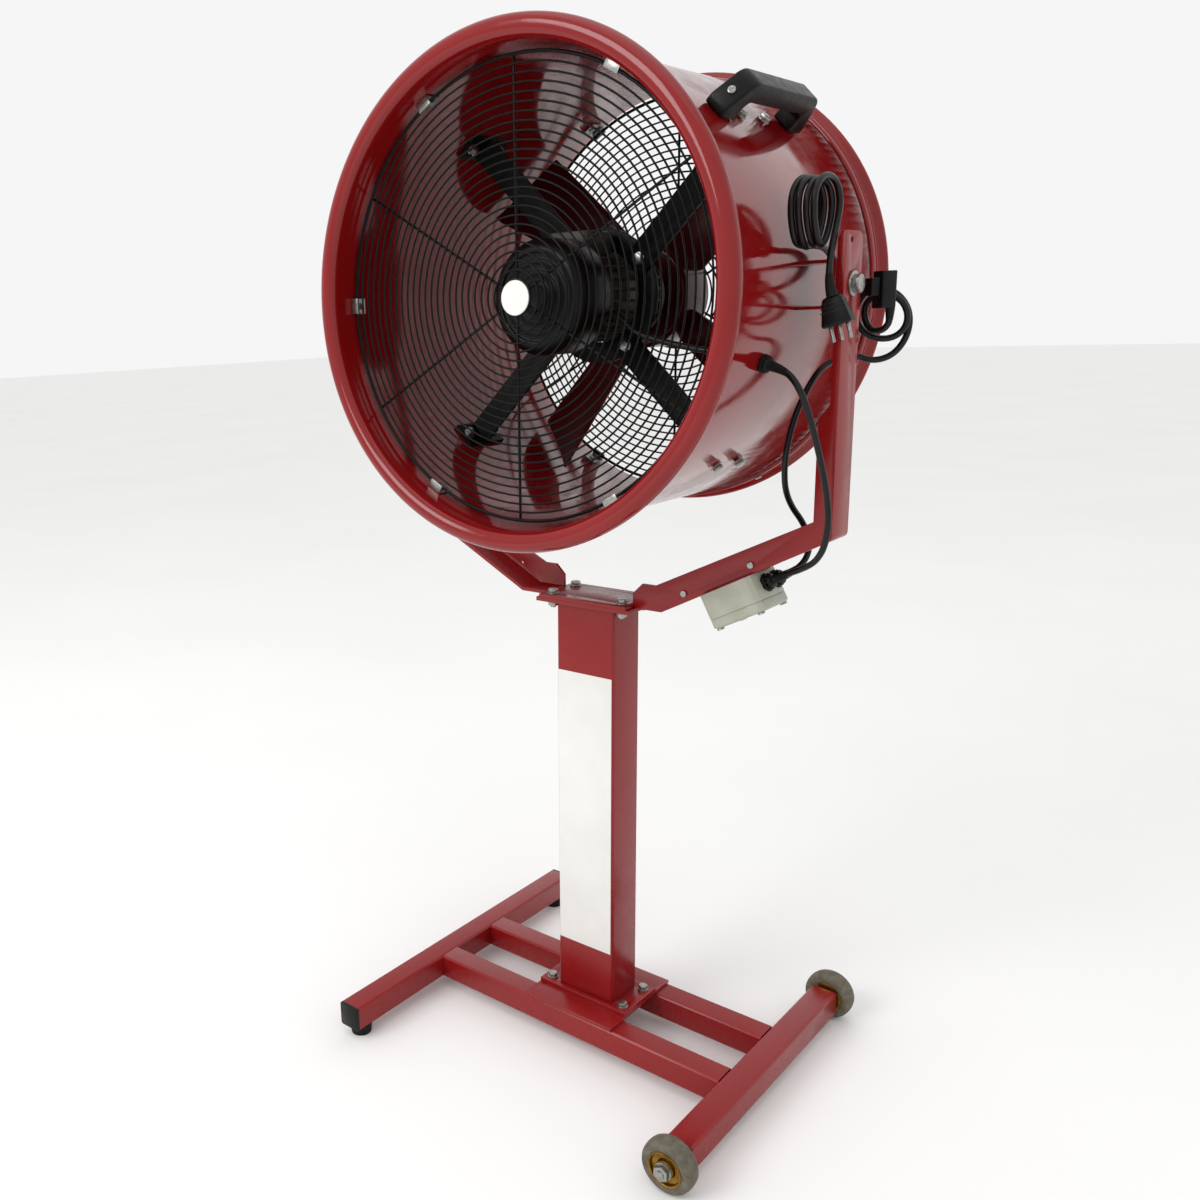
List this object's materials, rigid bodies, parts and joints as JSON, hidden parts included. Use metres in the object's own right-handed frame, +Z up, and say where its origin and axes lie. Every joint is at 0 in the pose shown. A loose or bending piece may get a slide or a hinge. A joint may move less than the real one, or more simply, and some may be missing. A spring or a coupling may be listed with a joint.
{
  "type": "pedestal drum fan",
  "caption": "Drum fan tilting in a yoke on a wheeled column stand, with guards, motor, impeller, control box and a mains lead hanked on the yoke.",
  "frame": {"origin": "on the floor under the column's axis, the middle of the part's footprint", "axes": "+X along the rails from the foot bar to the wheel bar, -Y out of the mouth of the drum, +Z up"},
  "size_m": [0.7602, 0.58, 1.4652],
  "materials": {
    "red_paint": "gloss",
    "black_steel": "satin",
    "motor_grey": "matte",
    "cowl_black": "matte",
    "blade_maroon": "satin",
    "zinc": "satin",
    "rubber_black": "matte",
    "tyre_grey": "matte",
    "hub_brass": "satin",
    "box_grey": "satin",
    "plastic_black": "satin",
    "white_panel": "gloss",
    "cable_black": "satin"
  },
  "bodies": {
    "stand": {"bar_end_caps": "plastic_black", "base_bolts": "zinc", "base_plate": "red_paint", "base_rails": "red_paint", "box_blanking_plug": "plastic_black", "box_rivets": "zinc", "cable_glands": "plastic_black", "column": "red_paint", "column_label": "white_panel", "column_plates": "red_paint", "control_box": "box_grey", "control_box_lid": "box_grey", "foot_bar": "red_paint", "hank_lead": "cable_black", "lead_joiner": "plastic_black", "lid_screws": "zinc", "mains_hank": "cable_black", "mains_lead": "cable_black", "mains_plug": "plastic_black", "mains_tail": "cable_black", "motor_cable": "cable_black", "rubber_feet": "rubber_black", "wheel_axles": "zinc", "wheel_bar": "red_paint", "yoke_arm_left": "red_paint", "yoke_arm_right": "red_paint", "yoke_bolts": "zinc", "yoke_pad": "red_paint"},
    "drum": {"drum_shell": "red_paint", "rear_hoop": "red_paint", "front_guard": "black_steel", "rear_guard": "black_steel", "guard_clips": "zinc", "guard_badge": "cowl_black", "strut_1": "black_steel", "strut_2": "black_steel", "strut_3": "black_steel", "strut_4": "black_steel", "strut_bolts": "zinc", "motor_mount_ring": "black_steel", "motor_body": "motor_grey", "motor_cowl": "cowl_black", "motor_end_shield": "motor_grey", "motor_terminal_box": "motor_grey", "motor_lead": "cable_black", "drum_grommet": "rubber_black", "pivot_bracket_right": "red_paint", "pivot_bracket_left": "red_paint", "pivot_bolts": "zinc", "carry_handle": "plastic_black", "drum_screws": "zinc"},
    "impeller": {"impeller_blades": "blade_maroon", "impeller_hub": "blade_maroon", "motor_shaft": "zinc"},
    "wheel_front": {"wheel_tyre_front": "tyre_grey", "wheel_hub_front": "hub_brass"},
    "wheel_rear": {"wheel_tyre_rear": "tyre_grey", "wheel_hub_rear": "hub_brass"}
  },
  "joints": [
    {"name": "drum_tilt", "type": "hinge", "parent": "stand", "child": "drum", "pos_m": [0, 0, 1.14], "axis": [1, 0, 0], "range_deg": [-45, 45], "deforming": ["motor_cable"]},
    {"name": "impeller_spin", "type": "hinge", "parent": "drum", "child": "impeller", "pos_m": [0, 0.141, 1.14], "axis": [0, 1, 0], "continuous": true},
    {"name": "wheel_front_spin", "type": "hinge", "parent": "stand", "child": "wheel_front", "pos_m": [0.278, -0.25, 0.0375], "axis": [0, 1, 0], "continuous": true},
    {"name": "wheel_rear_spin", "type": "hinge", "parent": "stand", "child": "wheel_rear", "pos_m": [0.278, 0.25, 0.0375], "axis": [0, 1, 0], "continuous": true}
  ]
}
